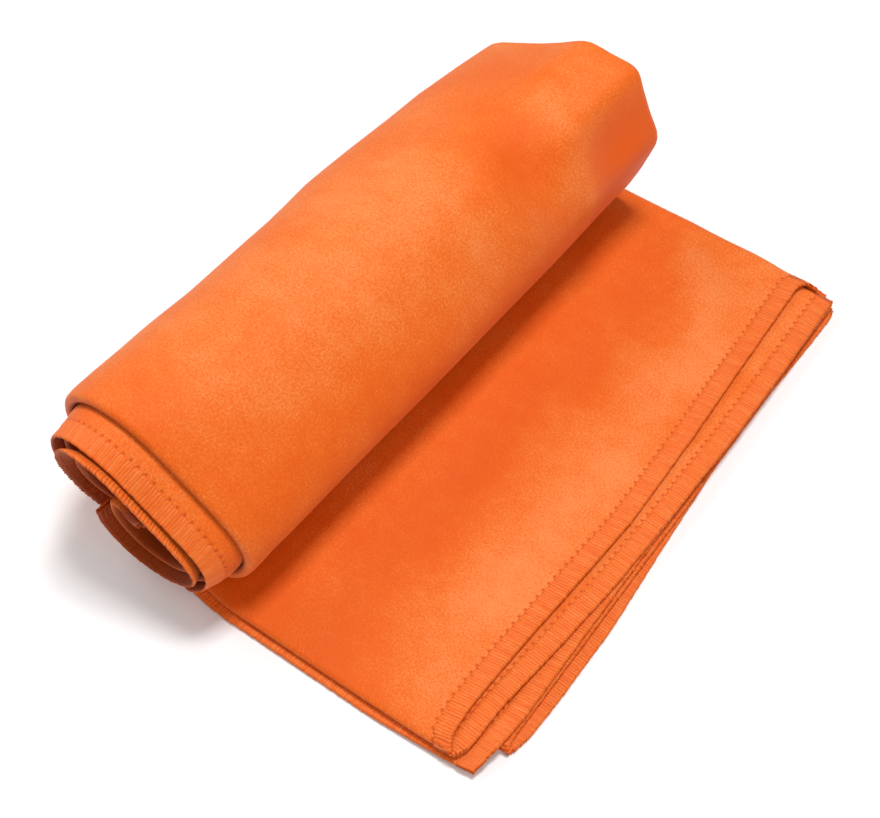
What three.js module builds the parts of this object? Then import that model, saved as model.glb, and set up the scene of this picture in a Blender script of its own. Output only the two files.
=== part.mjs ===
// Quick-dry travel towel: one sheet of suede microfibre with an overlocked edge all round,
// folded into a narrow strip, loosely rolled from one end, with a flat free tail.
//
// Millimetres, +Z up. The strip's width runs along Y, the tail points to +X, the roll lies at -X.
// Origin: bottom centre of the whole object, on the surface it rests on.
//
// The open towel measures 800 x 400. The 800 side is folded across the strip into four full
// widths and one turned-in flap; the 400 side is the length that is rolled up.
// Layers of the stack, from the outside of the roll (underside of the tail) inwards (upwards):
//   layer 4, turned-in flap, layer 3, layer 2, layer 1 (the top of the tail).
// Folds: layer 4 and flap at the near side, layers 2 and 1 at the near side,
//        layers 3 and 2 at the far side, layers 1 and 4 at the far side round the others.
import * as THREE from 'three';

// ---------- driving dimensions ----------
const CLOTH = 0.8;            // cloth thickness
const GAP = 0.3;              // air between neighbouring layers
const PITCH = CLOTH + GAP;    // layer to layer
const STACK = 4 * PITCH + CLOTH; // five layers
const HEM = 5.0;              // width of the overlocked edge
const FOLD = 1.0;             // width of a fold's turn
// Each layer is 400 long. The inner layers take the shorter way round the bends, so they reach
// further into the roll, measured along layer 4's outer face:
const END_OUT = 414;          // inner end of layer 4 and the flap
const END_MID = 437;          // inner end of layer 3
const END_IN = 452;           // inner end of layers 2 and 1
const TAIL_END = 12.0;        // X of the tail's end on the path (mean of the layers)
const HINGE_X = -50.0;        // line where the free tail lifts, in front of the roll
const FLOOR_Z = -STACK;       // underside of the stack; the top of the tail is Z = 0 here
const Y_FAR = 178.0;          // far fold of layers 1 and 4
const Y_FAR_IN = 176.0;       // far fold of layers 3 and 2
const Y_HEM3 = -2.8;          // near overlocked edge of layer 3
const Y_NEAR = 0.0;           // near fold of layers 2 and 1
const Y_NEAR4 = 7.0;          // near fold of layer 4 and the flap
const Y_FLAP = 103.2;         // inner overlocked edge of the flap
const SPIRAL_SHIFT = -3.6;    // sideways drift of the inmost turn against the tail
const ORIGIN = [-52.54, 85.8, FLOOR_Z]; // bottom centre of the object in the frame of this list

// outer face of layer 4, near end and far end of the roll, as X, Z
const NEAR = [
  [-94, -5.2], [-105.5, -1.2], [-113.8, 7.5], [-119, 18], [-121, 28], [-120.3, 36.5], [-117, 43.5],
  [-111.3, 48.2], [-104.5, 50], [-97, 49.3], [-90.5, 46.8], [-83.5, 42.2], [-77, 37.6], [-70.6, 32.9],
  [-65.6, 27.4], [-63.4, 20.5], [-65, 13], [-69.8, 6], [-77, 1.4], [-84, 0.35],
  [-90.5, 0.6], [-101.2, 4.6], [-108.2, 11.2], [-112.3, 19.4], [-113.9, 28], [-113.1, 35.2], [-110.1, 40.0],
  [-105.5, 42.6], [-99.8, 42.6], [-94, 40.9], [-87.5, 37.0], [-81.2, 32.5], [-75.8, 28.0], [-71.9, 22.9],
  [-71, 16.8], [-73.8, 11], [-79.4, 7.2], [-87, 6.4], [-94.4, 7.4], [-100.9, 11.6], [-104.9, 17.4], [-105.8, 24],
  [-103.6, 30.4], [-98.6, 32.8], [-92.5, 30.6], [-87, 27],
];
const FAR = [
  [-86, -5.2], [-97.8, -1.6], [-106.8, 7.6], [-111.6, 18.5], [-111.8, 28], [-107.5, 35.6], [-99.8, 40.3],
  [-91.6, 44.3], [-84, 48.8], [-76.2, 52.6], [-68.4, 53.4], [-61.8, 51], [-57, 45.5], [-53.6, 38.5],
  [-51.4, 31], [-51.7, 22], [-54.4, 12.6], [-59.4, 5.1], [-66.5, 1.3], [-74, 0.35],
  [-82, 0.6], [-92.8, 4.2], [-100, 11.2], [-104, 19.2], [-104.2, 26.2], [-99.8, 31.7], [-93.6, 35.2],
  [-86.8, 38.4], [-80.2, 42.1], [-74.2, 45.1], [-68.4, 45.6], [-63.8, 42.6], [-60.6, 37.2], [-58.5, 30.6],
  [-58.7, 22], [-61.5, 13.8], [-66.8, 8.4], [-74.6, 6.6], [-84, 7.2], [-91, 10.6], [-95.6, 16.2], [-96.2, 23],
  [-91.6, 28.6], [-84.5, 32.2], [-77, 35.6], [-71, 33.4],
];

// ---------- materials ----------
const cloth = () => new THREE.MeshStandardMaterial({ color: 0xf2661c, roughness: 0.92, metalness: 0 });
const thread = () => new THREE.MeshStandardMaterial({ color: 0xf4752e, roughness: 0.8, metalness: 0 });

// ---------- the rolled path ----------
// Near and far outlines hold the same number of points, so each point pairs with its partner at
// the other end, and lengths along the path are those of the strip's middle.
function densePath(key) {
  const pts = [[TAIL_END, FLOOR_Z], [HINGE_X, FLOOR_Z], [-70, FLOOR_Z], ...key].map(p => new THREE.Vector3(p[0], 0, p[1]));
  const curve = new THREE.CatmullRomCurve3(pts.slice(2), false, 'centripetal');
  const out = [pts[0], pts[1]];
  const n = (pts.length - 3) * 12;
  for (let i = 0; i <= n; i++) {
    const p = curve.getPoint(i / n);
    p.z = Math.max(p.z, FLOOR_Z); // the underside lies flat
    out.push(p);
  }
  return out;
}
const near = densePath(NEAR), far = densePath(FAR);
const run = [0];
for (let i = 1; i < near.length; i++) {
  const mid = k => near[k].clone().lerp(far[k], 0.5);
  run.push(run[i - 1] + mid(i).distanceTo(mid(i - 1)));
}
// point on layer 4's outer face at length at and width fraction t, and the inward normal there
function base(at, t) {
  let lo = 0, hi = run.length - 1;
  at = THREE.MathUtils.clamp(at, 0, run[hi]);
  while (hi - lo > 1) { const m = (lo + hi) >> 1; if (run[m] <= at) lo = m; else hi = m; }
  const f = (at - run[lo]) / (run[hi] - run[lo]);
  const a = near[lo].clone().lerp(near[hi], f), b = far[lo].clone().lerp(far[hi], f);
  return a.lerp(b, t);
}
function inward(at, t) {
  const d = 1.6;
  const v = base(at + d, t).sub(base(at - d, t)).normalize();
  return new THREE.Vector3(v.z, 0, -v.x);
}
const HINGE_S = TAIL_END - HINGE_X;
const drift = at => SPIRAL_SHIFT * THREE.MathUtils.smoothstep(at, 120, 360);
const frac = y => THREE.MathUtils.clamp((y - 5) / 173, -0.06, 1);
// a point of the stack: depth from layer 4's outer face, sideways place y
function place(at, y, depth) {
  const t = frac(y);
  const p = base(at, t).addScaledVector(inward(at, t), depth);
  return [p.x - ORIGIN[0], y + drift(at) - ORIGIN[1], p.z - ORIGIN[2]];
}
// arc lengths where the strip is cut into flat facets: short where it turns, long where it is flat
function stations(a, b) {
  const out = [a];
  let acc = 0, prev = inward(a, 0.5), last = a;
  for (let at = a + 0.5; at < b; at += 0.5) {
    const n = inward(at, 0.5);
    acc += prev.angleTo(n);
    prev = n;
    if (acc > 0.34 || at - last > 18) { out.push(at); last = at; acc = 0; }
  }
  if (b - out[out.length - 1] < 1.5) out.pop();
  out.push(b);
  return out;
}

// ---------- one closed strip of the stack ----------
// list: arc lengths, y0, y1: sides, d0, d1: depths. All layers bend at the same crosswise
// stations, so their facets stay parallel.
const CROSS = [50, Y_FLAP - HEM, Y_FLAP + GAP, 140];
function strip(list, y0, y1, d0, d1) {
  const ys = [y0, ...CROSS.filter(y => y > y0 + 1 && y < y1 - 1), y1];
  const pos = [], idx = [];
  const ns = list.length, cols = ys.length, ny = cols - 1;
  for (const at of list)
    for (let side = 0; side < 2; side++)
      for (const y of ys) pos.push(...place(at, y, side ? d1 : d0));
  const id = (i, side, j) => (i * 2 + side) * cols + j;
  const quad = (a, b, c, d) => idx.push(a, b, c, a, c, d);
  for (let i = 0; i < ns - 1; i++) {
    for (let j = 0; j < ny; j++) {
      quad(id(i, 0, j), id(i + 1, 0, j), id(i + 1, 0, j + 1), id(i, 0, j + 1));
      quad(id(i, 1, j), id(i, 1, j + 1), id(i + 1, 1, j + 1), id(i + 1, 1, j));
    }
    quad(id(i, 0, 0), id(i, 1, 0), id(i + 1, 1, 0), id(i + 1, 0, 0));
    quad(id(i, 0, ny), id(i + 1, 0, ny), id(i + 1, 1, ny), id(i, 1, ny));
  }
  for (let j = 0; j < ny; j++) {
    quad(id(0, 0, j), id(0, 0, j + 1), id(0, 1, j + 1), id(0, 1, j));
    quad(id(ns - 1, 0, j), id(ns - 1, 1, j), id(ns - 1, 1, j + 1), id(ns - 1, 0, j + 1));
  }
  return closed(pos, idx);
}
// a flat tail piece: outline in X, Y (counter-clockwise from above), between two depths
function slab(outline, d0, d1) {
  const shape = new THREE.Shape(outline.map(p => new THREE.Vector2(p[0] - ORIGIN[0], p[1] - ORIGIN[1])));
  const g = new THREE.ExtrudeGeometry(shape, { depth: d1 - d0, bevelEnabled: false });
  g.translate(0, 0, d0);
  return g;
}
function closed(pos, idx) {
  const g = new THREE.BufferGeometry();
  g.setAttribute('position', new THREE.Float32BufferAttribute(pos, 3));
  g.setIndex(idx);
  // turn the faces outwards if the winding came out inwards
  let vol = 0;
  const P = i => new THREE.Vector3(pos[3 * i], pos[3 * i + 1], pos[3 * i + 2]);
  for (let i = 0; i < idx.length; i += 3) vol += P(idx[i]).dot(P(idx[i + 1]).cross(P(idx[i + 2]))) / 6;
  if (vol < 0) for (let i = 0; i < idx.length; i += 3) { const t = idx[i]; idx[i] = idx[i + 1]; idx[i + 1] = t; }
  g.setIndex(idx);
  g.computeVertexNormals();
  return g;
}

const towel = new THREE.Group();
function add(name, geometry, material) {
  const m = new THREE.Mesh(geometry, material);
  m.name = name;
  towel.add(m);
  return m;
}

// ---------- depths of the five layers ----------
const depth = k => [k * PITCH, k * PITCH + CLOTH];   // 0: layer 4, 1: flap, 2: layer 3, 3: layer 2, 4: layer 1
const LAYERS = [
  { id: 'layer_4', k: 0, y0: Y_NEAR4 + FOLD + GAP, y1: Y_FAR - FOLD - GAP, end: END_OUT },
  { id: 'flap', k: 1, y0: Y_NEAR4 + FOLD + GAP, y1: Y_FLAP - HEM - GAP, end: END_OUT },
  { id: 'layer_3', k: 2, y0: Y_HEM3 + HEM + GAP, y1: Y_FAR_IN - FOLD - GAP, end: END_MID },
  { id: 'layer_2', k: 3, y0: Y_NEAR + FOLD + GAP, y1: Y_FAR_IN - FOLD - GAP, end: END_IN },
  { id: 'layer_1', k: 4, y0: Y_NEAR + FOLD + GAP, y1: Y_FAR - FOLD - GAP, end: END_IN },
];
const SIDES = [
  { id: 'near_fold_4_flap', k0: 0, k1: 1, y0: Y_NEAR4, y1: Y_NEAR4 + FOLD, mat: cloth, end: END_OUT },
  { id: 'near_fold_2_1', k0: 3, k1: 4, y0: Y_NEAR, y1: Y_NEAR + FOLD, mat: cloth, end: END_IN },
  { id: 'far_fold_3_2', k0: 2, k1: 3, y0: Y_FAR_IN - FOLD, y1: Y_FAR_IN, mat: cloth, end: END_MID },
  { id: 'far_fold_1_4', k0: 0, k1: 4, y0: Y_FAR - FOLD, y1: Y_FAR, mat: cloth, end: END_OUT },
  { id: 'side_hem_layer_3', k0: 2, k1: 2, y0: Y_HEM3, y1: Y_HEM3 + HEM, mat: thread, end: END_MID },
  { id: 'side_hem_flap', k0: 1, k1: 1, y0: Y_FLAP - HEM, y1: Y_FLAP, mat: thread, end: END_OUT },
];

// ---------- the roll, from the lifting line inwards ----------
const ALL = stations(HINGE_S, END_IN + 6);
const upTo = end => [...ALL.filter(at => at < end - 1.2), end];
for (const L of LAYERS) {
  add('roll_' + L.id, strip(upTo(L.end - HEM - GAP), L.y0, L.y1, ...depth(L.k)), cloth());
  const list = upTo(L.end).filter(at => at > L.end - HEM + 1.2);
  add('inner_end_hem_' + L.id, strip([L.end - HEM, ...list], L.y0, L.y1, ...depth(L.k)), thread());
}
for (const S of SIDES)
  add('roll_' + S.id, strip(upTo(S.end), S.y0, S.y1, depth(S.k0)[0], depth(S.k1)[1]), S.mat());

// ---------- the free tail ----------
// end line of each layer: Y, X pairs from near to far
const END_LINE = {
  layer_1: [[0, 0.2], [14, -0.2], [33, 0.8], [55, 2.4], [80, 4.0], [100, 3.6], [122, 2.9], [145, 1.9], [178, 0.8]],
  layer_2: [[0, 5.4], [17, 5.8], [38, 8.2], [62, 10.4], [90, 11.6], [122, 12.2], [150, 12.2], [178, 11.4]],
  layer_3: [[-4, 10.2], [18, 11.7], [50, 11.4], [100, 11.2], [178, 11.8]],
  flap: [[0, 12], [110, 12.4]],
  layer_4: [[0, 12.2], [14, 14.6], [28, 15.8], [53, 15.3], [80, 12.9], [110, 11.6], [140, 12.1], [178, 12.8]],
};
const ROOT_GAP = 0.3; // clearance to the part of the stack that stays under the roll
const lineAt = (line, y) => {
  for (let i = 1; i < line.length; i++)
    if (y <= line[i][0]) {
      const [a, b] = [line[i - 1], line[i]];
      return a[1] + (b[1] - a[1]) * (y - a[0]) / (b[0] - a[0]);
    }
  return line[line.length - 1][1];
};
function endStrip(line, y0, y1, inset0, inset1) {
  const ys = [y0, ...line.map(p => p[0]).filter(y => y > y0 + 1 && y < y1 - 1), y1];
  const outer = ys.map(y => [lineAt(line, y) - inset0, y]);
  const inner = ys.map(y => [lineAt(line, y) - inset1, y]).reverse();
  return [...outer, ...inner];
}
for (const L of LAYERS) {
  const line = END_LINE[L.id];
  const ys = [L.y0, ...line.map(p => p[0]).filter(y => y > L.y0 + 1 && y < L.y1 - 1), L.y1];
  const edge = ys.map(y => [lineAt(line, y) - HEM - GAP, y]);
  const outline = [[HINGE_X + ROOT_GAP, L.y0], ...edge, [HINGE_X + ROOT_GAP, L.y1]];
  add('tail_' + L.id, slab(outline, ...depth(L.k)), cloth());
  add('end_hem_' + L.id, slab(endStrip(line, L.y0, L.y1, 0, HEM), ...depth(L.k)), thread());
}
for (const S of SIDES) {
  const key = ['flap', 'layer_4', 'layer_3', 'layer_2', 'layer_1'];
  const ids = { near_fold_4_flap: 'layer_4', near_fold_2_1: 'layer_1', far_fold_3_2: 'layer_3', far_fold_1_4: 'layer_1', side_hem_layer_3: 'layer_3', side_hem_flap: 'flap' };
  const x1 = lineAt(END_LINE[ids[S.id]], (S.y0 + S.y1) / 2);
  const outline = [[HINGE_X + ROOT_GAP, S.y0], [x1, S.y0], [x1, S.y1], [HINGE_X + ROOT_GAP, S.y1]];
  add('tail_' + S.id, slab(outline, depth(S.k0)[0], depth(S.k1)[1]), S.mat());
}

export default towel;
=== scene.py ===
"""Quick-dry travel towel: one suede microfibre cloth, folded to a narrow strip, loosely rolled
from one end, with its overlocked edge made thread by thread.

Lengths are worked out in millimetres in the frame of the strip (X along it, Y across it, Z up,
Z = 0 on the top of the flat tail) and shifted into the row frame in metres at the very end."""
import math

import bpy
import numpy as np
from mathutils import Matrix, Vector


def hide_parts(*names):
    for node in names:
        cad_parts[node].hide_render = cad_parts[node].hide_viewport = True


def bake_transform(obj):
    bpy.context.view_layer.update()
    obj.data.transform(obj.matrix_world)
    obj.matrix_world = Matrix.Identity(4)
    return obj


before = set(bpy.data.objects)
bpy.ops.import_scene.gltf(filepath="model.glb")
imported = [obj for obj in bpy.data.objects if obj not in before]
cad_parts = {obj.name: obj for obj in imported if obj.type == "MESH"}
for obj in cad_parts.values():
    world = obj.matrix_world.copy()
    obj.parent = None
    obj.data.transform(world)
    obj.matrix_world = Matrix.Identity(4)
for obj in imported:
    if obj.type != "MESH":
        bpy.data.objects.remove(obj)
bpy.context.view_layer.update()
scene = bpy.context.scene

# ------------------------------------------------------------------ dimensions (mm)
CLOTH = 0.8
HALF = CLOTH / 2
PITCH = 1.1
HEM = 5.0
WIDTH = 400.0            # the side that is rolled up
LENGTH = 800.0           # the side that is folded across the strip
TAIL_END = 12.0
HINGE_X = -50.0
FLOOR_Z = -5.2
Y_FAR, Y_FAR_IN, Y_HEM3, Y_NEAR, Y_NEAR4, Y_FLAP = 178.0, 176.0, -2.8, 0.0, 7.0, 103.2
SPIRAL_SHIFT = -3.6
ORIGIN = np.array([-52.54, 85.8, FLOOR_Z])
STITCH = 2.44            # overlock stitch length

# outer face of layer 4, near end and far end of the roll, as X, Z
NEAR = [
    [-94, -5.2], [-105.5, -1.2], [-113.8, 7.5], [-119, 18], [-121, 28], [-120.3, 36.5], [-117, 43.5],
    [-111.3, 48.2], [-104.5, 50], [-97, 49.3], [-90.5, 46.8], [-83.5, 42.2], [-77, 37.6], [-70.6, 32.9],
    [-65.6, 27.4], [-63.4, 20.5], [-65, 13], [-69.8, 6], [-77, 1.4], [-84, 0.35],
    [-90.5, 0.6], [-101.2, 4.6], [-108.2, 11.2], [-112.3, 19.4], [-113.9, 28], [-113.1, 35.2], [-110.1, 40.0],
    [-105.5, 42.6], [-99.8, 42.6], [-94, 40.9], [-87.5, 37.0], [-81.2, 32.5], [-75.8, 28.0], [-71.9, 22.9],
    [-71, 16.8], [-73.8, 11], [-79.4, 7.2], [-87, 6.4], [-94.4, 7.4], [-100.9, 11.6], [-104.9, 17.4], [-105.8, 24],
    [-103.6, 30.4], [-98.6, 32.8], [-92.5, 30.6], [-87, 27],
]
FAR = [
    [-86, -5.2], [-97.8, -1.6], [-106.8, 7.6], [-111.6, 18.5], [-111.8, 28], [-107.5, 35.6], [-99.8, 40.3],
    [-91.6, 44.3], [-84, 48.8], [-76.2, 52.6], [-68.4, 53.4], [-61.8, 51], [-57, 45.5], [-53.6, 38.5],
    [-51.4, 31], [-51.7, 22], [-54.4, 12.6], [-59.4, 5.1], [-66.5, 1.3], [-74, 0.35],
    [-82, 0.6], [-92.8, 4.2], [-100, 11.2], [-104, 19.2], [-104.2, 26.2], [-99.8, 31.7], [-93.6, 35.2],
    [-86.8, 38.4], [-80.2, 42.1], [-74.2, 45.1], [-68.4, 45.6], [-63.8, 42.6], [-60.6, 37.2], [-58.5, 30.6],
    [-58.7, 22], [-61.5, 13.8], [-66.8, 8.4], [-74.6, 6.6], [-84, 7.2], [-91, 10.6], [-95.6, 16.2], [-96.2, 23],
    [-91.6, 28.6], [-84.5, 32.2], [-77, 35.6], [-71, 33.4],
]
# the same outline at the very end of the far side, where the folds press the cloth into corners
FAR_TIP = [list(p) for p in FAR]
for _i, _p in {
    7: [-91.6, 44.9], 8: [-84, 49.8], 9: [-76.0, 54.8], 10: [-68.2, 54.4], 11: [-59.4, 53.4],
    12: [-56.2, 46.6], 13: [-53.2, 39.4], 14: [-50.0, 32.2], 15: [-52.2, 23.0], 16: [-55.6, 13.0],
}.items():
    FAR_TIP[_i] = _p
END_LINE = {  # Y, X of each layer's edge at the free end of the tail
    "layer_1": [[0, 0.2], [14, -0.2], [33, 0.8], [55, 2.4], [80, 4.0], [100, 3.6], [122, 2.9], [145, 1.9], [178, 0.8]],
    "layer_2": [[0, 5.4], [17, 5.8], [38, 8.2], [62, 10.4], [90, 11.6], [122, 12.2], [150, 12.2], [178, 11.4]],
    "layer_3": [[-4, 10.2], [18, 11.7], [50, 11.4], [100, 11.2], [178, 11.8]],
    "flap": [[0, 12], [110, 12.4]],
    "layer_4": [[0, 12.6], [14, 14.9], [28, 15.4], [53, 15.4], [80, 13.5], [110, 11.9], [140, 11.9], [178, 13.2]],
}


def smooth(a, b, x):
    t = np.clip((np.asarray(x, float) - a) / (b - a), 0, 1)
    return t * t * (3 - 2 * t)


def bell(x, centre, half):
    """A soft hump, 1 at the centre and 0.37 at half either side."""
    return np.exp(-(((np.asarray(x, float) - centre) / half) ** 2))


def gauss(values, sigma):
    """Gaussian smoothing along axis 0, sigma in samples; the ends keep their slope."""
    n = int(4 * sigma) + 1
    k = np.exp(-0.5 * (np.arange(-n, n + 1) / sigma) ** 2)
    k /= k.sum()
    v = np.asarray(values, float)
    flat = v[:, None] if v.ndim == 1 else v
    head = 2 * flat[0] - flat[n:0:-1]
    tail = 2 * flat[-1] - flat[-2 : -n - 2 : -1]
    pad = np.vstack([head, flat, tail])
    out = np.stack([np.convolve(pad[:, c], k, "valid") for c in range(pad.shape[1])], 1)
    return out[:, 0] if v.ndim == 1 else out


# ------------------------------------------------------------------ the rolled path
def catmull(points, per):
    p = np.array(points, float)
    p = np.vstack([2 * p[0] - p[1], p, 2 * p[-1] - p[-2]])
    out = []
    for i in range(1, len(p) - 2):
        p0, p1, p2, p3 = p[i - 1 : i + 3]
        d0, d1, d2 = (max(np.linalg.norm(b - a) ** 0.5, 1e-4) for a, b in ((p0, p1), (p1, p2), (p2, p3)))
        t1 = ((p1 - p0) / d0 - (p2 - p0) / (d0 + d1) + (p2 - p1) / d1) * d1
        t2 = ((p2 - p1) / d1 - (p3 - p1) / (d1 + d2) + (p3 - p2) / d2) * d1
        for s in np.arange(per) / per:
            out.append(p1 + t1 * s + (-3 * p1 + 3 * p2 - 2 * t1 - t2) * s**2 + (2 * p1 - 2 * p2 + t1 + t2) * s**3)
    out.append(p[-2])
    return np.array(out)


def dense(key):
    c = catmull([[-70, FLOOR_Z]] + key, 12)
    c[:, 1] = np.maximum(c[:, 1], FLOOR_Z)
    return np.vstack([[[TAIL_END, FLOOR_Z], [HINGE_X, FLOOR_Z]], c])


near_raw, far_raw, tip_raw = dense(NEAR), dense(FAR), dense(FAR_TIP)
mid_raw = (near_raw + far_raw) / 2
run = np.r_[0, np.cumsum(np.linalg.norm(np.diff(mid_raw, axis=0), axis=1))]
STEP = 0.5
AT = np.arange(-30, run[-1], STEP)


def resample(curve, sigma=2.4):
    g = np.stack([np.interp(AT, run, curve[:, c]) for c in (0, 1)], 1)
    before = AT < 0
    g[before, 0] = TAIL_END - AT[before]
    return gauss(g, sigma / STEP)


near_c, far_c, tip_c = resample(near_raw), resample(far_raw), resample(tip_raw, 1.1)
# a straight run on, past the innermost point
extra = 60
near_c, far_c, tip_c = (np.vstack([c, [c[-1] + (c[-1] - c[-2]) * (i + 1) for i in range(extra)]]) for c in (near_c, far_c, tip_c))
AT = np.r_[AT, AT[-1] + STEP * np.arange(1, extra + 1)]
mid_c = (near_c + far_c) / 2
dm = np.gradient(mid_c, axis=0)
phi = np.unwrap(np.arctan2(dm[:, 1], dm[:, 0]))
THETA = gauss(phi[0] - phi, 3)
AXIS = near_c[(AT > 150) & (AT < 400)].mean(0)  # X, Z of the roll's middle at the near end


def painted_hollow_shade(p, normal, u):
    """Painted shade: 1 where a surface near the near end faces the middle of the roll, inside the hollow, where the
    colour is darkened to stand in for shade.
    """
    to = np.stack([AXIS[0] - p[..., 0], 0 * p[..., 0], AXIS[1] - p[..., 2]], -1)
    to = to / np.maximum(np.linalg.norm(to, axis=-1, keepdims=True), 1e-6)
    facing = smooth(0.05, 0.65, np.sum(to * normal, -1))
    return facing * smooth(96, 118, u) * (1 - smooth(24, 60, p[..., 1]))



def base(at, t):
    n = [np.interp(at, AT, near_c[:, c]) for c in (0, 1)]
    f = [np.interp(at, AT, far_c[:, c]) for c in (0, 1)]
    e = [np.interp(at, AT, tip_c[:, c]) for c in (0, 1)]
    w = smooth(0.72, 1.0, t)
    return n[0] + (f[0] - n[0]) * t + (e[0] - f[0]) * w, n[1] + (f[1] - n[1]) * t + (e[1] - f[1]) * w


# ------------------------------------------------------------------ the folded section
def section():
    pts = []

    def line(y0, y1, k):
        pts.extend([y, k] for y in np.linspace(y0, y1, int(abs(y1 - y0) / 0.2) + 2))

    def turn(y_tip, ax, k0, k1, power=1.0):
        for a in np.linspace(-math.pi / 2, math.pi / 2, 60)[1:-1]:
            c, s = math.cos(a), math.sin(a)
            pts.append([y_tip - ax + ax * c**power, (k0 + k1) / 2 + (k1 - k0) / 2 * math.copysign(abs(s) ** power, s)])

    line(Y_HEM3, Y_FAR_IN - 1.1, 2)
    turn(Y_FAR_IN, 1.1, 2, 3)
    line(Y_FAR_IN - 1.1, Y_NEAR + 1.1, 3)
    turn(Y_NEAR, -1.1, 3, 4)
    line(Y_NEAR + 1.1, Y_FAR - 2.4, 4)
    turn(Y_FAR, 2.4, 4, 0, 0.85)
    line(Y_FAR - 2.4, Y_NEAR4 + 1.1, 0)
    turn(Y_NEAR4, -1.1, 0, 1)
    line(Y_NEAR4 + 1.1, Y_FLAP, 1)
    p = np.array(pts)
    s = np.r_[0, np.cumsum(np.hypot(np.diff(p[:, 0]), np.diff(p[:, 1]) * PITCH))]
    keep = np.r_[True, np.diff(s) > 1e-6]
    p, s = p[keep], s[keep]
    s *= LENGTH / s[-1]
    v = np.arange(0, LENGTH + 0.025, 0.05)
    y, k = np.interp(v, s, p[:, 0]), np.interp(v, s, p[:, 1])
    g = gauss(np.stack([y, k], 1), 5)
    # marks: the middle of each turn
    marks = []
    for want in (2.5, 3.5, 2.0, 0.5):
        lo = marks[-1] + 20 if marks else 20
        sel = np.where((v > lo))[0]
        kk = g[sel, 1]
        base_k = kk[0]
        i = np.where((kk - want) * (base_k - want) <= 0)[0][0]
        marks.append(float(v[sel][i]))
    return v, g[:, 0], g[:, 1], marks


V, VY, VK, (V_FAR_IN, V_NEAR21, V_FAR14, V_NEAR4) = section()


def end_x():
    """X of the tail-end edge for each v."""
    lines = {n: np.array(l, float) for n, l in END_LINE.items()}
    out = np.empty_like(V)
    for lo, hi, name in (
        (0, V_FAR_IN, "layer_3"), (V_FAR_IN, V_NEAR21, "layer_2"), (V_NEAR21, V_FAR14, "layer_1"),
        (V_FAR14, V_NEAR4, "layer_4"), (V_NEAR4, LENGTH + 1, "flap"),
    ):
        s = (V >= lo) & (V < hi)
        out[s] = np.interp(VY[s], lines[name][:, 0], lines[name][:, 1])
    return gauss(out, 2.6 / 0.05)


VX = end_x()
VE = gauss(np.interp(V, [0, V_FAR_IN, V_NEAR21, V_FAR14, V_NEAR4, LENGTH], [2.0, 2.3, 3.0, 1.6, 0.6, 1.0]), 80)


# how far the back of the roll stands out, by Y
BACK_SWELL = (
    [0, 8, 14, 21, 37, 52, 68, 84, 100, 115, 131, 147, 162, 178],
    [0.6, 2.3, 1.95, 1.45, 1.7, 1.2, 1.7, 2.5, 4.3, 4.3, 4.0, 3.9, 2.6, 0.6],
)


def ripple(at, y):
    """Slow waves of the whole stack, about -1 to 1."""
    return (
        0.34 * np.sin(at / 17.0 + 0.031 * y + 0.6) * np.sin(y / 31.0 + 1.3)
        + 0.30 * np.sin(at / 9.7 - 0.052 * y + 2.1) * np.sin(y / 23.0 + 0.2)
        + 0.22 * np.sin(at / 26.0 + y / 14.5 + 4.0)
        + 0.14 * np.sin(at / 6.1 + y / 19.0 + 1.1) * np.sin(y / 11.0 + 2.2)
    )


def own(at, y, k):
    """Small waves that differ from layer to layer."""
    f = 2 * np.pi * 0.37 * k
    return np.sin(at / 8.3 + f * 2.1 + y / 27) * np.sin(y / 16.5 + f) + 0.5 * np.sin(y / 9.1 + f * 3.3 + at / 31)


# humps and hollows of the free tail: X, Y, size along X, size along Y, height, turn (degrees)
TAIL_HUMPS = [
    (-23, 159, 21, 6.5, 2.3, -50),
    (-12, 127, 9, 10, 1.7, 0),
    (-11, 58, 11, 34, 1.6, 4),
    (-33, 122, 8, 26, -1.0, 10),
    (-4, 149, 5, 9, -0.8, 0),
    (-40, 66, 7, 24, -0.9, 12),
    (-28, 34, 12, 12, 1.0, 30),
]


def tail_relief(x, y):
    out = 0
    for cx, cy, sx, sy, h, turn in TAIL_HUMPS:
        a = math.radians(turn)
        dx, dy = x - cx, y - cy
        px, py = dx * math.cos(a) + dy * math.sin(a), -dx * math.sin(a) + dy * math.cos(a)
        out = out + h * np.exp(-((px / sx) ** 2) - (py / sy) ** 2)
    return out


def painted_light_and_shade(p, u):
    """Painted light and shade: about 0 where the cloth is painted deep, 1 where it is painted pale; paler towards the
    tail's end, on its humps and on the roll's top and ridges, deeper near the roll, along the near edge and in the far
    end's dents.
    """
    x, y = p[..., 0], p[..., 1]
    flat = 0.18 + 0.52 * smooth(-46, -12, x) + 0.16 * np.clip(tail_relief(x, y), -1.5, 2.2)
    flat = flat - 0.22 * (1 - smooth(2, 15, y)) - 0.16 * bell(x, -30, 16) * bell(y, 20, 26)
    rolled = 0.37 + 0.45 * bell(u, 184, 26) * bell(y, 72, 62) - 0.85 * bell(u, 196, 12) * bell(y, 132, 9)
    rolled = rolled - 0.75 * smooth(199, 213, u) * smooth(143, 157, y) - 0.15 * smooth(205, 225, u)
    rolled = rolled + 0.45 * bell(u, 190, 11) * bell(y, 150, 8) + 0.42 * bell(u, 214, 13) * bell(y, 143, 5)
    rolled = rolled + 0.30 * bell(u, 180, 16) * bell(y, 114, 9)
    return flat + (rolled - flat) * smooth(84, 120, u)


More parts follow.
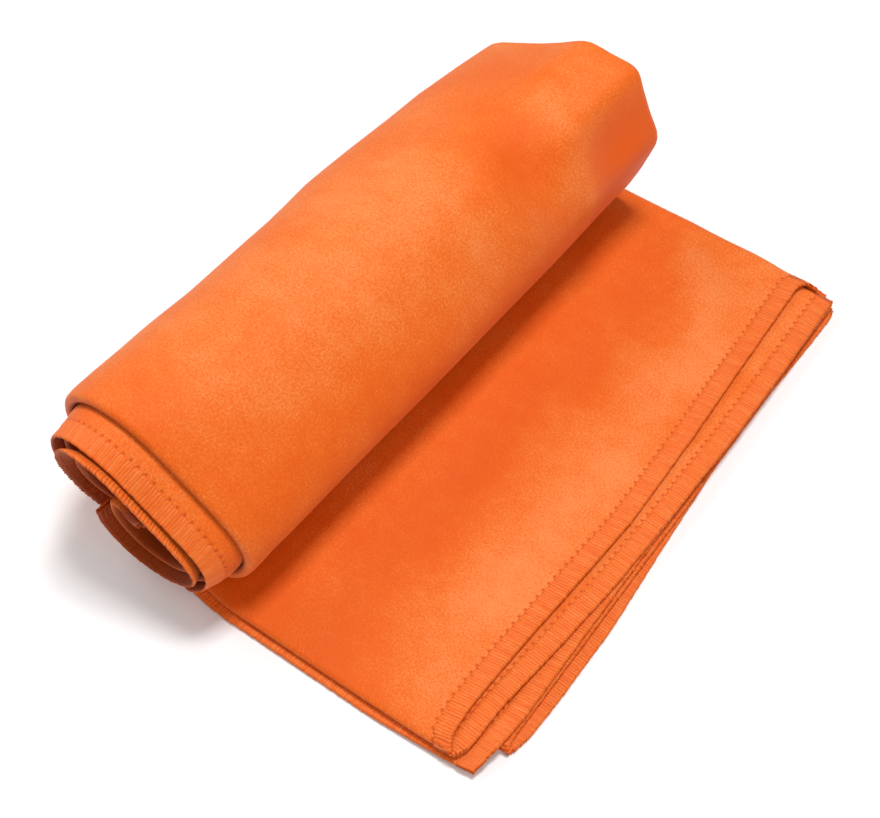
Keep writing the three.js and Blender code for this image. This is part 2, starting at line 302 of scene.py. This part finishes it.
def cloth(u, v):
    """Middle surface of the cloth: u from the tail end inwards, v across the folds, in mm."""
    u, v = np.broadcast_arrays(np.asarray(u, float), np.asarray(v, float))
    y, k = np.interp(v, V, VY), np.interp(v, V, VK)
    xe, e = np.interp(v, V, VX), np.interp(v, V, VE)
    off = TAIL_END - xe + 0.4
    at = u + off
    for _ in range(28):
        at = u + off + e * np.interp(at, AT, THETA)
    # on the tail the near side of layer 3 is tucked in, the far folds lie out a little
    flat_part = 1 - smooth(72, 100, at)
    y = y + flat_part * (1 - smooth(2, 24, v)) * (0.9 + 1.2 * (1 - smooth(6, 34, u)))
    y = y + flat_part * 2.6 * (1 - smooth(0, 18, np.abs(v - V_NEAR4)))
    y = y + flat_part * 2.5 * smooth(150, 178, y) * (0.32 + 0.68 * smooth(2, 22, u))
    # under the roll and in the lower part of the hollow the near side is drawn back
    drawn = 3.9 * smooth(79, 106, at) * (1 - smooth(126, 156, at)) + 5.5 * smooth(256, 270, at) * (1 - smooth(290, 322, at))
    y = y + drawn * (1 - smooth(6, 34, y))
    t = np.clip((y - 5) / 173, -0.06, 1.02)

    # depth of the layer in the stack, from the outer face of layer 4
    pitch = PITCH + 0.5 * (1 - smooth(-4, 46, at)) + 0.35 * smooth(396, 428, at)
    d = HALF + k * pitch
    d = d + 0.35 * (1 - smooth(5, 10, u)) * 1.0
    upper = smooth(1.2, 2.0, k)
    # beyond the flap's edge the layers above it sink on to layer 4
    d = d - 0.6 * upper * smooth(102, 113, y)
    # layer 3's stitched side is thicker than plain cloth
    d = d + 0.35 * smooth(2.3, 3.0, k) * (1 - smooth(2.5, 7, y))
    # the near side hangs over the shorter layer 4: down on the tail, inwards on the roll
    in_roll = smooth(74, 140, at)
    hang = 1 - smooth(-3.6, 12.5, y)
    first_turn = 1 - smooth(248, 288, at)
    inwards = (1 - smooth(-4.6, 5.5, y)) * 2.3 * first_turn * (1 - 0.7 * bell(at, 168, 16)) - (1 - smooth(-4.4, 3.6, y)) * (3.6 * smooth(306, 328, at) + 2.2 * bell(at, 338, 14)) * (1 - smooth(372, 392, at))
    d = d + upper * (-1.9 * hang * (1 - in_roll) + inwards * in_roll)
    # the outer fold is plump
    plump = bell(y, 9.5, 5.5) * in_roll
    d = d - 0.9 * plump * (1 - smooth(0, 1, k)) + 0.3 * plump * smooth(0.5, 1.0, k)

    def face(at_, t_):
        x0, z0 = base(at_ - 0.9, t_)
        x1, z1 = base(at_ + 0.9, t_)
        tx, tz = x1 - x0, z1 - z0
        l = np.hypot(tx, tz)
        return tz / l, -tx / l

    nx, nz = face(at, t)  # inward
    # the roll fills out behind its pulled-in near end, but not where it lies on something
    free = smooth(-0.55, 0.15, -nz) * smooth(96, 120, at)
    swell = 2.5 * smooth(5, 21, y) * (1 - 0.9 * smooth(60, 170, y))
    back = np.interp(y, *BACK_SWELL) * bell(at, 163, 21)
    first = 1 - 0.45 * smooth(250, 300, at)
    d = d - free * (swell + back) * first
    # waves
    wave = ripple(at, y) * 0.42 * free * smooth(0, 14, y)
    d = d - wave
    # far end of the roll: the folded end is pressed in and creased
    window = smooth(172, 184, at) * (1 - smooth(214, 232, at))
    window2 = smooth(196, 208, at) * (1 - smooth(222, 238, at))
    d = d - 1.5 * window * bell(y, 122, 6.5) - 1.7 * window2 * bell(y, 147, 6)
    d = d + 3.2 * bell(at, 204, 10) * bell(y, 134.5, 7.5) + 1.6 * bell(at, 218, 9) * bell(y, 160, 9)
    bx, bz = base(at, t)
    x, z = bx + nx * d, bz + nz * d
    # the second turn's stitched side rides up under the first turn's
    rides = bell(at, 319, 15) * (1 - smooth(-4.4, 3.6, y)) * upper
    x, z = x + 2.0 * rides, z + 4.0 * rides
    # waves of the tail lift the upper layers more than the lower
    on_tail = 1 - smooth(58, 72, at)
    z = z + on_tail * (k / 4) * (tail_relief(x, y) * smooth(-2, 9, y) + 0.12 * own(at, y, k))
    # the cloth's own corner at the near end is rounded
    corner = (1 - smooth(0, 11, u)) * (1 - smooth(0, 12, v))
    x, y = x - 0.9 * corner, y + 0.7 * corner
    z = np.maximum(z, FLOOR_Z + HALF + 0.02)
    drift = SPIRAL_SHIFT * smooth(120, 360, at)
    return np.stack([x, y + drift, z], -1)


def unit(a):
    return a / np.maximum(np.linalg.norm(a, axis=-1, keepdims=True), 1e-9)


def cloth_frame(u, v):
    """Place, face-A normal, and the directions along u and v."""
    eu, ev = 0.4, 0.12
    p = cloth(u, v)
    u, v = np.broadcast_arrays(np.asarray(u, float), np.asarray(v, float))
    du = unit(cloth(np.minimum(u + eu, WIDTH), v) - cloth(np.maximum(u - eu, 0), v))
    dv = unit(cloth(u, np.minimum(v + ev, LENGTH)) - cloth(u, np.maximum(v - ev, 0)))
    return p, unit(-np.cross(du, dv)), du, dv


def to_row(p):
    return (p - ORIGIN) / 1000.0


def mesh_object(name, verts, faces, material, tris=()):
    me = bpy.data.meshes.new(name)
    verts = np.asarray(verts, np.float32)
    faces = np.asarray(faces, np.int32)
    tris = np.asarray(tris, np.int32).reshape(-1, 3)
    n, m = len(faces), len(tris)
    me.vertices.add(len(verts))
    me.vertices.foreach_set("co", verts.ravel())
    me.loops.add(n * 4 + m * 3)
    me.loops.foreach_set("vertex_index", np.r_[faces.ravel(), tris.ravel()])
    me.polygons.add(n + m)
    me.polygons.foreach_set("loop_start", np.r_[np.arange(n) * 4, n * 4 + np.arange(m) * 3].astype(np.int32))
    me.polygons.foreach_set("use_smooth", np.ones(n + m, bool))
    me.update(calc_edges=True)
    me.validate()
    me.materials.append(material)
    o = bpy.data.objects.new(name, me)
    scene.collection.objects.link(o)
    return o


def vector_attribute(o, name, values):
    a = o.data.attributes.new(name, "FLOAT_VECTOR", "POINT")
    a.data.foreach_set("vector", np.asarray(values, np.float32).ravel())


# ------------------------------------------------------------------ materials
def material(name):
    m = bpy.data.materials.new(name)
    m.use_nodes = True
    nt = m.node_tree
    nt.nodes.clear()
    out = nt.nodes.new("ShaderNodeOutputMaterial")
    bsdf = nt.nodes.new("ShaderNodeBsdfPrincipled")
    nt.links.new(bsdf.outputs[0], out.inputs[0])
    return m, nt, bsdf


def node(nt, kind, **inputs):
    n = nt.nodes.new(kind)
    for k, v in inputs.items():
        if k in n.inputs:
            n.inputs[k].default_value = v
        else:
            setattr(n, k, v)
    return n


def noise(nt, vector, scale, detail=2.0, rough=0.5):
    n = nt.nodes.new("ShaderNodeTexNoise")
    n.inputs["Scale"].default_value = scale
    n.inputs["Detail"].default_value = detail
    n.inputs["Roughness"].default_value = rough
    nt.links.new(vector, n.inputs["Vector"])
    return n.outputs["Fac"]


def ramp(nt, fac, stops):
    r = nt.nodes.new("ShaderNodeValToRGB")
    e = r.color_ramp.elements
    e[0].position, e[0].color = stops[0][0], (*stops[0][1], 1)
    e[1].position, e[1].color = stops[-1][0], (*stops[-1][1], 1)
    for p, c in stops[1:-1]:
        x = e.new(p)
        x.color = (*c, 1)
    nt.links.new(fac, r.inputs[0])
    return r.outputs[0]


def maths(nt, op, a, b):
    n = nt.nodes.new("ShaderNodeMath")
    n.operation = op
    for i, x in enumerate((a, b)):
        if isinstance(x, (int, float)):
            n.inputs[i].default_value = x
        else:
            nt.links.new(x, n.inputs[i])
    return n.outputs[0]


def mix_colour(nt, fac, a, b, mode="MIX"):
    n = nt.nodes.new("ShaderNodeMix")
    n.data_type = "RGBA"
    n.blend_type = mode
    for sock, x in ((n.inputs["Factor"], fac), (n.inputs[6], a), (n.inputs[7], b)):
        if isinstance(x, (int, float)):
            sock.default_value = x
        elif isinstance(x, tuple):
            sock.default_value = (*x, 1)
        else:
            nt.links.new(x, sock)
    return n.outputs[2]


# the tone ramp's colours: they serve the random grain of the nap and also the painted light (pale) and painted shade
# (deep)
BASE = (0.785, 0.136, 0.006)
PALE_GRAIN_AND_LIGHT = (0.825, 0.225, 0.056)
DEEP_GRAIN_AND_SHADE = (0.74, 0.094, 0.001)


# painted shade: where the attribute's X is 1 the colour is multiplied towards brown, standing in for the shade inside
# the roll's hollow
def apply_painted_shade(nt, colour):
    a = nt.nodes.new("ShaderNodeAttribute")
    a.attribute_name = "painted_light_shade"
    xyz = nt.nodes.new("ShaderNodeSeparateXYZ")
    nt.links.new(a.outputs["Vector"], xyz.inputs[0])
    painted_dark = mix_colour(nt, 1.0, colour, (0.44, 0.36, 0.25), "MULTIPLY")
    return mix_colour(nt, xyz.outputs["X"], colour, painted_dark)


def suede():
    m, nt, bsdf = material("suede_microfibre")
    at = nt.nodes.new("ShaderNodeAttribute")
    at.attribute_name = "cloth_mm"
    vec = at.outputs["Vector"]
    # brushed nap: slow patches where the pile leans one way or the other, and a fine grain
    patches = noise(nt, vec, 0.035, 3, 0.55)
    cloudy = noise(nt, vec, 0.22, 3, 0.6)
    grain = noise(nt, vec, 1.55, 3, 0.7)
    speck = noise(nt, vec, 3.6, 2, 0.6)
    tone = maths(nt, "ADD", maths(nt, "MULTIPLY", patches, 0.22), maths(nt, "MULTIPLY", cloudy, 0.10))
    tone = maths(nt, "ADD", tone, maths(nt, "MULTIPLY", grain, 0.40))
    tone = maths(nt, "ADD", tone, maths(nt, "MULTIPLY", speck, 0.28))
    # painted light and shade: the attribute's Y shifts the tone towards the pale colour where light is painted and
    # towards the deep colour where shade is painted
    painted_light = nt.nodes.new("ShaderNodeAttribute")
    painted_light.attribute_name = "painted_light_shade"
    painted_light_xyz = nt.nodes.new("ShaderNodeSeparateXYZ")
    nt.links.new(painted_light.outputs["Vector"], painted_light_xyz.inputs[0])
    tone = maths(nt, "ADD", tone, maths(nt, "MULTIPLY", maths(nt, "SUBTRACT", painted_light_xyz.outputs["Y"], 0.5), 0.13))
    colour = ramp(nt, tone, [(0.41, DEEP_GRAIN_AND_SHADE), (0.5, BASE), (0.59, PALE_GRAIN_AND_LIGHT)])
    # the needle's holes, one to each stitch, a hem's width in from all four sides: painted shade darkens each hole,
    # and the bump dents it
    xyz = nt.nodes.new("ShaderNodeSeparateXYZ")
    nt.links.new(vec, xyz.inputs[0])
    u, v = xyz.outputs["X"], xyz.outputs["Y"]
    pitch = WIDTH / round(WIDTH / STITCH)

    def off_line(x, far):
        a = maths(nt, "ABSOLUTE", maths(nt, "SUBTRACT", x, 5.3), 0)
        b = maths(nt, "ABSOLUTE", maths(nt, "SUBTRACT", x, far - 5.3), 0)
        return maths(nt, "MINIMUM", a, b)

    def off_hole(x):
        f = maths(nt, "FRACT", maths(nt, "DIVIDE", maths(nt, "ADD", x, 0.65), pitch), 0)
        return maths(nt, "MULTIPLY", maths(nt, "ABSOLUTE", maths(nt, "SUBTRACT", f, 0.5), 0), pitch)

    def radius(a, b):
        return maths(nt, "SQRT", maths(nt, "ADD", maths(nt, "MULTIPLY", a, a), maths(nt, "MULTIPLY", b, b)), 0)

    hole = maths(nt, "MINIMUM", radius(off_line(u, WIDTH), off_hole(v)), radius(off_line(v, LENGTH), off_hole(u)))
    hole_dent_shade = nt.nodes.new("ShaderNodeMapRange")
    hole_dent_shade.interpolation_type = "SMOOTHSTEP"
    hole_dent_shade.inputs["From Min"].default_value = 0.10
    hole_dent_shade.inputs["From Max"].default_value = 0.72
    nt.links.new(hole, hole_dent_shade.inputs["Value"])
    # painted shade in each needle hole
    colour = mix_colour(nt, hole_dent_shade.outputs[0], (0.60, 0.066, 0.002), colour)
    colour = apply_painted_shade(nt, colour)
    nt.links.new(colour, bsdf.inputs["Base Color"])
    bsdf.inputs["Specular IOR Level"].default_value = 0.42
    bsdf.inputs["Specular Tint"].default_value = (1.0, 0.92, 0.80, 1)
    bsdf.inputs["IOR"].default_value = 1.45
    bsdf.inputs["Sheen Weight"].default_value = 0.16
    bsdf.inputs["Sheen Roughness"].default_value = 0.5
    bsdf.inputs["Sheen Tint"].default_value = (1.0, 0.66, 0.36, 1)
    rough = maths(nt, "ADD", maths(nt, "MULTIPLY", grain, 0.18), 0.52)
    nt.links.new(rough, bsdf.inputs["Roughness"])
    # knit cells under the nap and the pile itself
    vor = nt.nodes.new("ShaderNodeTexVoronoi")
    vor.inputs["Scale"].default_value = 2.1
    nt.links.new(vec, vor.inputs["Vector"])
    height = maths(nt, "ADD", maths(nt, "MULTIPLY", grain, 0.6), maths(nt, "MULTIPLY", speck, 0.45))
    height = maths(nt, "ADD", height, maths(nt, "MULTIPLY", vor.outputs["Distance"], 0.16))
    height = maths(nt, "ADD", height, maths(nt, "MULTIPLY", hole_dent_shade.outputs[0], 0.5))
    bump = nt.nodes.new("ShaderNodeBump")
    bump.inputs["Strength"].default_value = 0.8
    bump.inputs["Distance"].default_value = 0.00026
    nt.links.new(height, bump.inputs["Height"])
    nt.links.new(bump.outputs[0], bsdf.inputs["Normal"])
    return m


def thread():
    m, nt, bsdf = material("overlock_thread")
    at = nt.nodes.new("ShaderNodeAttribute")
    at.attribute_name = "strand_mm"
    vec = at.outputs["Vector"]
    # fibres run along the strand: x is the length along it, y the way round it
    fibres = noise(nt, vec, 2.2, 3, 0.6)
    slub = noise(nt, vec, 0.31, 2, 0.5)
    mixed = maths(nt, "ADD", maths(nt, "MULTIPLY", fibres, 0.55), maths(nt, "MULTIPLY", slub, 0.45))
    colour = ramp(nt, mixed, [(0.36, (0.75, 0.106, 0.002)), (0.5, (0.80, 0.150, 0.010)), (0.64, (0.85, 0.215, 0.036))])
    sh = nt.nodes.new("ShaderNodeAttribute")
    sh.attribute_name = "painted_light_shade"
    parts = nt.nodes.new("ShaderNodeSeparateXYZ")
    nt.links.new(sh.outputs["Vector"], parts.inputs[0])
    # painted shade on each strand's sides, from the attribute's Y
    colour = mix_colour(nt, parts.outputs["Y"], colour, (0.72, 0.092, 0.003))
    colour = apply_painted_shade(nt, colour)
    nt.links.new(colour, bsdf.inputs["Base Color"])
    bsdf.inputs["Roughness"].default_value = 0.62
    bsdf.inputs["Specular IOR Level"].default_value = 0.45
    bsdf.inputs["Sheen Weight"].default_value = 0.12
    bsdf.inputs["Sheen Roughness"].default_value = 0.4
    bsdf.inputs["Sheen Tint"].default_value = (1.0, 0.66, 0.42, 1)
    bump = nt.nodes.new("ShaderNodeBump")
    bump.inputs["Strength"].default_value = 0.5
    bump.inputs["Distance"].default_value = 0.0001
    nt.links.new(fibres, bump.inputs["Height"])
    nt.links.new(bump.outputs[0], bsdf.inputs["Normal"])
    return m


CLOTH_MATERIAL, THREAD_MATERIAL = suede(), thread()


# ------------------------------------------------------------------ the cloth
def stations_v(count):
    v = np.arange(0, LENGTH + 0.01, 0.1)
    gap = np.full_like(v, 5.4)
    for m in (V_FAR_IN, V_NEAR21, V_NEAR4):
        gap = np.minimum(gap, 0.26 + np.maximum(np.abs(v - m) - 1.5, 0) * 0.30)
    gap = np.minimum(gap, 0.55 + np.maximum(np.abs(v - V_FAR14) - 4.0, 0) * 0.30)
    for m in (0, LENGTH):
        gap = np.minimum(gap, 1.5 + np.maximum(np.abs(v - m) - 6, 0) * 0.3)
    c = np.r_[0, np.cumsum(0.1 / gap[:-1])]
    return np.interp(np.linspace(0, c[-1], count), c, v)


def make_cloth():
    us = np.unique(np.r_[np.linspace(0, 6, 6), np.linspace(6, 64, 25), np.linspace(64, WIDTH - 6, 153), np.linspace(WIDTH - 6, WIDTH, 5)])
    vs = stations_v(262)
    nu, nv = len(us), len(vs)
    uu, vv = np.meshgrid(us, vs, indexing="ij")
    p, n, _, _ = cloth_frame(uu, vv)
    # thinner at the very edge, where the overlock presses it
    edge = np.minimum(np.minimum(uu, WIDTH - uu), np.minimum(vv, LENGTH - vv))
    half = HALF * (0.80 + 0.20 * smooth(2.0, 6.2, edge)) - 0.05 * bell(edge, 5.3, 0.8)
    top, bottom = p + n * half[..., None], p - n * half[..., None]
    floor = FLOOR_Z + 0.01
    top[..., 2] = np.maximum(top[..., 2], floor)
    bottom[..., 2] = np.maximum(bottom[..., 2], floor)
    verts = to_row(np.concatenate([top.reshape(-1, 3), bottom.reshape(-1, 3)]))
    idx = np.arange(nu * nv).reshape(nu, nv)
    a, b, c, d = idx[:-1, :-1].ravel(), idx[1:, :-1].ravel(), idx[1:, 1:].ravel(), idx[:-1, 1:].ravel()
    o = nu * nv
    faces = [np.stack([a, d, c, b], 1), np.stack([a + o, b + o, c + o, d + o], 1)]
    ring = np.r_[idx[:, 0], idx[-1, 1:], idx[-2::-1, -1], idx[0, -2:0:-1]]
    nxt = np.roll(ring, -1)
    faces.append(np.stack([ring, nxt, nxt + o, ring + o], 1))
    ob = mesh_object("towel_cloth", verts, np.concatenate(faces), CLOTH_MATERIAL)
    mm = np.stack([uu.ravel(), vv.ravel(), np.zeros(nu * nv)], 1)
    vector_attribute(ob, "cloth_mm", np.concatenate([mm, mm + [0, 0, 40.0]]))
    # painted shade in the roll's hollow (X), and painted light and shade zones (Y and Z)
    painted_light_shade = np.concatenate([painted_hollow_shade(top, n, uu).ravel(), painted_hollow_shade(bottom, -n, uu).ravel()])
    painted_light = np.concatenate([painted_light_and_shade(top, uu).ravel(), painted_light_and_shade(bottom, uu).ravel()])
    vector_attribute(ob, "painted_light_shade", np.stack([painted_light_shade, painted_light, painted_light], 1))
    return ob


# ------------------------------------------------------------------ the overlock
A_SIDE = [(5.1, 0.16, 0.70), (4.7, 0.33, 0.94), (3.9, 0.37, 1.0), (2.6, 0.39, 1.04), (1.4, 0.39, 1.0), (0.75, 0.35, 0.86), (0.35, 0.36, 1.04)]
EDGE = [(-0.20, 0.18, 1.08), (-0.20, -0.18, 1.08)]
PATH_FULL = A_SIDE + EDGE + [(w, -h, s) for w, h, s in A_SIDE[::-1]]
A_LITE = [(5.1, 0.16, 0.70), (4.4, 0.35, 0.95), (2.2, 0.39, 1.06), (0.45, 0.37, 1.0)]
PATH_LITE = A_LITE + [(-0.26, 0.0, 1.1)] + [(w, -h, s) for w, h, s in A_LITE[::-1]]


def seam(name, side, path, sides, seed, slope_a=0.7, slope_b=0.3, strands=(-1, 0, 1)):
    """Overlock along one side of the cloth. side gives (u, v) from q along the edge and w in from it."""
    rng = np.random.default_rng(seed)
    total = side["length"]
    count = int(round(total / STITCH))
    pitch = total / count
    w = np.array([p[0] for p in path])
    h = np.array([p[1] for p in path])
    s = np.array([p[2] for p in path])
    # outward direction of the strand's flat section: from the face, round the edge, to the other face
    m = len(path)
    turn = np.interp(np.arange(m), [0, (m - 1) / 2 - len(EDGE) * 0.5 - 0.2, (m - 1) / 2 + len(EDGE) * 0.5 + 0.2, m - 1], [0, 0.0, math.pi, math.pi])
    out_w, out_h = -np.sin(turn), np.cos(turn)
    on_a = np.clip((np.arange(m) <= (m - 1) / 2), 0, 1)
    share = np.clip(1 - w / 5.15, 0, 1)  # 0 at the needle, 1 at the edge
    verts, faces, caps, attrs, shades = [], [], [], [], []
    used = 0
    for strand in strands:
        q0 = (np.arange(count) + 0.5) * pitch
        jitter = rng.normal(0, 0.03, (count, 1))
        # the strands draw together a little at the needle's hole and lie side by side from there on
        fan = strand * pitch / (3 if len(strands) > 2 else 4) * (0.80 + 0.20 * smooth(0, 0.22, share))
        lead = np.where(on_a > 0, slope_a * (share - 0.5), slope_a * 0.5 - slope_b * (1 - share))
        q = q0[:, None] + lead[None, :] + fan[None, :] + jitter * (0.4 + share[None, :])
        q = np.clip(q, 0.3, total - 0.3)
        ww = w[None, :] + rng.normal(0, 0.05, (count, 1)) * (share[None, :] > 0.97) + 0 * q
        hh = h[None, :] * (1 + rng.normal(0, 0.015, (count, 1)))
        inner = np.maximum(ww, 0)
        u, v = side["uv"](q, inner)
        p, n, du, dv = cloth_frame(u, v)
        u1, v1 = side["uv"](q, inner + 0.6)
        inward = unit(cloth(u1, v1) - p)
        centre = p + n * hh[..., None] + inward * np.minimum(ww, 0)[..., None]
        tangent = unit(np.gradient(centre, axis=1))
        up = inward * out_w[None, :, None] + n * out_h[None, :, None]
        up = unit(up - tangent * np.sum(up * tangent, -1, keepdims=True))
        across = np.cross(tangent, up)
        width = (1.0 if len(strands) > 2 else 1.25) * s[None, :] * (1 + rng.normal(0, 0.06, (count, 1)))
        thick = 0.15 * np.sqrt(s)[None, :] * np.ones((count, 1))
        ang = np.arange(sides) / sides * 2 * math.pi + math.pi / 2
        ring = centre[:, :, None, :] + across[:, :, None, :] * (width[..., None] * np.cos(ang))[..., None] + up[:, :, None, :] * (thick[..., None] * np.sin(ang))[..., None]
        ring[..., 2] = np.maximum(ring[..., 2], FLOOR_Z + 0.02)
        along = np.cumsum(np.r_[0, np.hypot(np.diff(w), np.diff(h))])
        at_len = np.broadcast_to(along[None, :, None], ring.shape[:3])
        at_ring = np.broadcast_to(np.cos(ang)[None, None, :] * 0.9, ring.shape[:3])
        at_id = np.broadcast_to((q0 * 1.7 + strand * 11.3)[:, None, None], ring.shape[:3])
        attrs.append(np.stack([at_len * 0.35, at_ring * 2.4, at_id], -1).reshape(-1, 3))
        # painted shade: each strand's colour darkens towards its sides, where neighbouring strands meet
        strand_side_shade = 0.95 * np.abs(np.cos(ang))[None, None, :] ** 1.5 + 0 * at_len
        # painted shade of the roll's hollow, carried on to the thread
        hollow_shade = np.broadcast_to(painted_hollow_shade(centre, up, u)[:, :, None], ring.shape[:3])
        shades.append(np.stack([hollow_shade, strand_side_shade, strand_side_shade], -1).reshape(-1, 3))
        idx = used + np.arange(count * m * sides).reshape(count, m, sides)
        nxt = np.roll(idx, -1, axis=2)
        faces.append(np.stack([idx[:, :-1], idx[:, 1:], nxt[:, 1:], nxt[:, :-1]], -1).reshape(-1, 4))
        # closed ends
        for end, flip in ((idx[:, 0], False), (idx[:, -1], True)):
            for j in range(1, sides - 1):
                f = np.stack([end[:, 0], end[:, j], end[:, j + 1]], -1)
                caps.append(f[:, ::-1] if flip else f)
        verts.append(ring.reshape(-1, 3))
        used += count * m * sides
    o = mesh_object(name, to_row(np.concatenate(verts)), np.concatenate(faces), THREAD_MATERIAL, tris=np.concatenate(caps))
    vector_attribute(o, "strand_mm", np.concatenate(attrs))
    vector_attribute(o, "painted_light_shade", np.concatenate(shades))
    return o


SIDES = {
    "side_layer_3": {"length": WIDTH, "uv": lambda q, w: (q, w)},
    "side_flap": {"length": WIDTH, "uv": lambda q, w: (q, LENGTH - w)},
    "tail_end": {"length": LENGTH, "uv": lambda q, w: (w, q)},
    "inner_end": {"length": LENGTH, "uv": lambda q, w: (WIDTH - w, q)},
}

towel = make_cloth()
seam_side = seam("overlock_side_layer_3", SIDES["side_layer_3"], PATH_FULL, 5, 11)
seam_tail = seam("overlock_tail_end", SIDES["tail_end"], PATH_FULL, 5, 12)
seam_flap = seam("overlock_side_flap", SIDES["side_flap"], PATH_LITE, 6, 13, strands=(-1, 1))
seam_inner = seam("overlock_inner_end", SIDES["inner_end"], PATH_LITE, 6, 14, strands=(-1, 1))
SEAMS = [seam_side, seam_tail, seam_flap, seam_inner]


# ------------------------------------------------------------------ faces outwards, transforms baked, and the CAD's bodies hidden
def mend(o):
    """All faces outwards."""
    import bmesh

    bm = bmesh.new()
    bm.from_mesh(o.data)
    bmesh.ops.recalc_face_normals(bm, faces=bm.faces)
    bm.to_mesh(o.data)
    bm.free()


for piece, slot in [(towel, "microfibre")] + [(s, "overlock_thread") for s in SEAMS]:
    mend(piece)
    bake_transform(piece)

nodes = sorted(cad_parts)
hems = {
    seam_side: [n for n in nodes if "side_hem_layer_3" in n],
    seam_flap: [n for n in nodes if "side_hem_flap" in n],
    seam_tail: [n for n in nodes if n.startswith("end_hem_")],
    seam_inner: [n for n in nodes if n.startswith("inner_end_hem_")],
}
for piece, members in hems.items():
    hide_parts(*members)
taken = {n for ns in hems.values() for n in ns}
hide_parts(*[n for n in nodes if n not in taken])

# ------------------------------------------------------------------ floor, light, camera
floor_mat, fnt, fb = material("studio_floor")
coords = fnt.nodes.new("ShaderNodeTexCoord")
fnt.links.new(ramp(fnt, noise(fnt, coords.outputs["Object"], 9.0, 2), [(0.3, (0.86, 0.86, 0.86)), (0.7, (0.89, 0.89, 0.89))]), fb.inputs["Base Color"])
fb.inputs["Roughness"].default_value = 0.8
fb.inputs["Specular IOR Level"].default_value = 0.1
floor = mesh_object("studio_floor", [[-4, -4, 0], [4, -4, 0], [4, 4, 0], [-4, 4, 0]], [[0, 1, 2, 3]], floor_mat)

world = bpy.data.worlds.new("studio")
scene.world = world
world.use_nodes = True
bg = world.node_tree.nodes["Background"]
bg.inputs["Color"].default_value = (1, 0.99, 0.98, 1)
bg.inputs["Strength"].default_value = 0.24
world.cycles_visibility.glossy = False  # the nap's gloss comes from the lamps alone


def area(name, place, target, size, power, colour=(1, 1, 1)):
    light = bpy.data.lights.new(name, "AREA")
    light.shape = "SQUARE"
    light.size = size
    light.energy = power
    light.color = colour
    o = bpy.data.objects.new(name, light)
    scene.collection.objects.link(o)
    o.location = place
    o.rotation_mode = "QUATERNION"
    o.rotation_quaternion = (Vector(target) - Vector(place)).to_track_quat("-Z", "Y")
    return o


area("key", (0.03, 0.14, 1.05), (-0.01, 0, 0.02), 0.26, 7.9)
area("side", (-0.95, 0.0, 0.80), (-0.02, 0, 0.03), 0.8, 5.2)
area("fill", (0.70, -0.40, 0.80), (0, 0, 0), 0.9, 4.2).visible_glossy = False

scene.view_settings.view_transform = "Standard"
scene.view_settings.look = "None"
scene.view_settings.exposure = 0.0
scene.view_settings.gamma = 1.0

yaw, pitch_down, roll = math.radians(127.71), math.radians(55.76), math.radians(-2.2)
F = np.array([math.cos(pitch_down) * math.cos(yaw), math.cos(pitch_down) * math.sin(yaw), -math.sin(pitch_down)])
R = np.cross(F, [0, 0, 1])
R /= np.linalg.norm(R)
U = np.cross(R, F)
c, s = math.cos(roll), math.sin(roll)
R, U = c * R + s * U, -s * R + c * U
cam_data = bpy.data.cameras.new("camera")
cam_data.lens = 69.545
cam_data.sensor_width = 36
cam_data.clip_start, cam_data.clip_end = 0.01, 20
cam = bpy.data.objects.new("camera", cam_data)
scene.collection.objects.link(cam)
m = Matrix([[R[0], U[0], -F[0], 0.15594], [R[1], U[1], -F[1], -0.2155], [R[2], U[2], -F[2], 0.3967], [0, 0, 0, 1]])
cam.matrix_world = m
scene.camera = cam
